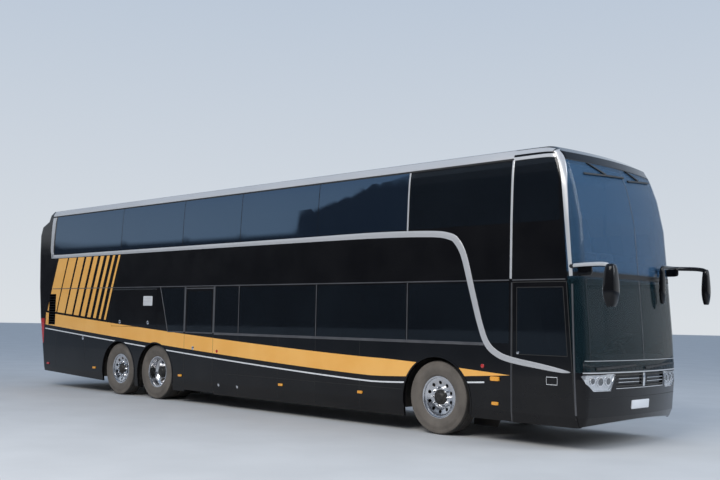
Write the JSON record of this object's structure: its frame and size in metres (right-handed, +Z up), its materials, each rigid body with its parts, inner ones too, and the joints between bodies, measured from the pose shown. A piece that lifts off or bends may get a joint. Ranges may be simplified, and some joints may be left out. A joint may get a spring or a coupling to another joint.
{
  "type": "coach bus",
  "caption": "Double-deck touring coach with a steered front axle, twin-wheel drive axle and tag axle, hollow decks with seats, luggage flaps and engine cover.",
  "frame": {"origin": "on the ground, below the middle of the box round the whole coach", "axes": "+X forward, +Y to the coach's left, +Z up"},
  "size_m": [14.91, 3.1, 3.9998],
  "materials": {
    "body_paint": "gloss",
    "side_glass": "gloss",
    "windscreen_glass": "gloss",
    "lamp_lens": "gloss",
    "red_lens": "gloss",
    "trim_metal": "satin",
    "frame_black": "satin",
    "dark_plastic": "matt",
    "floor_board": "matt",
    "dark_steel": "satin",
    "engine_iron": "satin",
    "seat_fabric": "matt",
    "dash_plastic": "matt",
    "mirror_housing": "gloss",
    "wiper_plastic": "matt",
    "axle_iron": "satin",
    "wheel_alloy": "polished",
    "tyre": "matt"
  },
  "bodies": {
    "coach": {"side_wall_right": "body_paint", "side_wall_left": "body_paint", "passenger_doors": "body_paint", "side_glass": "side_glass", "front_panel": "body_paint", "headlamps": "lamp_lens", "grille": "trim_metal", "front_frame": "frame_black", "windscreens": "windscreen_glass", "roof": "body_paint", "roof_hatches": "dark_plastic", "rear_wall": "body_paint", "tail_lamps": "red_lens", "rear_window": "side_glass", "lower_floor": "floor_board", "upper_floor": "floor_board", "stairs": "floor_board", "wheelhouses": "dark_steel", "chassis_frame": "dark_steel", "engine": "engine_iron", "upper_seats": "seat_fabric", "lower_seats": "seat_fabric", "dashboard": "dash_plastic", "mirrors": "mirror_housing", "wipers": "wiper_plastic", "front_axle": "axle_iron", "drive_axle": "axle_iron", "tag_axle": "axle_iron"},
    "flap_right": {"luggage_flap_right": "body_paint"},
    "flap_left": {"luggage_flap_left": "body_paint"},
    "engine_door": {"engine_cover": "body_paint"},
    "steer_left": {"knuckle_left": "axle_iron"},
    "steer_right": {"knuckle_right": "axle_iron"},
    "wheel_front_left": {"rim_front_left": "wheel_alloy", "tyre_front_left": "tyre"},
    "wheel_front_right": {"rim_front_right": "wheel_alloy", "tyre_front_right": "tyre"},
    "wheel_drive_left": {"rim_drive_left": "wheel_alloy", "tyre_drive_left": "tyre"},
    "wheel_drive_right": {"rim_drive_right": "wheel_alloy", "tyre_drive_right": "tyre"},
    "wheel_tag_left": {"rim_tag_left": "wheel_alloy", "tyre_tag_left": "tyre"},
    "wheel_tag_right": {"rim_tag_right": "wheel_alloy", "tyre_tag_right": "tyre"}
  },
  "joints": [
    {"name": "steer_left", "type": "hinge", "parent": "coach", "child": "steer_left", "pos_m": [4.515, 0.88, 0.522], "axis": [0, 0, 1], "range_deg": [-40, 40]},
    {"name": "steer_right", "type": "hinge", "parent": "coach", "child": "steer_right", "pos_m": [4.515, -0.88, 0.522], "axis": [0, 0, 1], "range_deg": [-40, 40]},
    {"name": "flap_right_hinge", "type": "hinge", "parent": "coach", "child": "flap_right", "pos_m": [-3.275, -1.275, 2.124], "axis": [1, 0, 0], "range_deg": [-75, 0]},
    {"name": "flap_left_hinge", "type": "hinge", "parent": "coach", "child": "flap_left", "pos_m": [-3.275, 1.275, 2.124], "axis": [1, 0, 0], "range_deg": [0, 75]},
    {"name": "engine_door_hinge", "type": "hinge", "parent": "coach", "child": "engine_door", "pos_m": [-7.3021, 0, 1.914], "axis": [0, 1, 0], "range_deg": [0, 70]},
    {"name": "front_left_spin", "type": "hinge", "parent": "steer_left", "child": "wheel_front_left", "pos_m": [4.515, 1.08, 0.522], "axis": [0, 1, 0], "continuous": true},
    {"name": "front_right_spin", "type": "hinge", "parent": "steer_right", "child": "wheel_front_right", "pos_m": [4.515, -1.08, 0.522], "axis": [0, 1, 0], "continuous": true},
    {"name": "drive_left_spin", "type": "hinge", "parent": "coach", "child": "wheel_drive_left", "pos_m": [-2.485, 1.08, 0.522], "axis": [0, 1, 0], "continuous": true},
    {"name": "drive_right_spin", "type": "hinge", "parent": "coach", "child": "wheel_drive_right", "pos_m": [-2.485, -1.08, 0.522], "axis": [0, 1, 0], "continuous": true},
    {"name": "tag_left_spin", "type": "hinge", "parent": "coach", "child": "wheel_tag_left", "pos_m": [-3.785, 1.08, 0.522], "axis": [0, 1, 0], "continuous": true},
    {"name": "tag_right_spin", "type": "hinge", "parent": "coach", "child": "wheel_tag_right", "pos_m": [-3.785, -1.08, 0.522], "axis": [0, 1, 0], "continuous": true}
  ],
  "couplings": [
    {"joint": "steer_right", "follows": "steer_left", "ratio": 1}
  ]
}
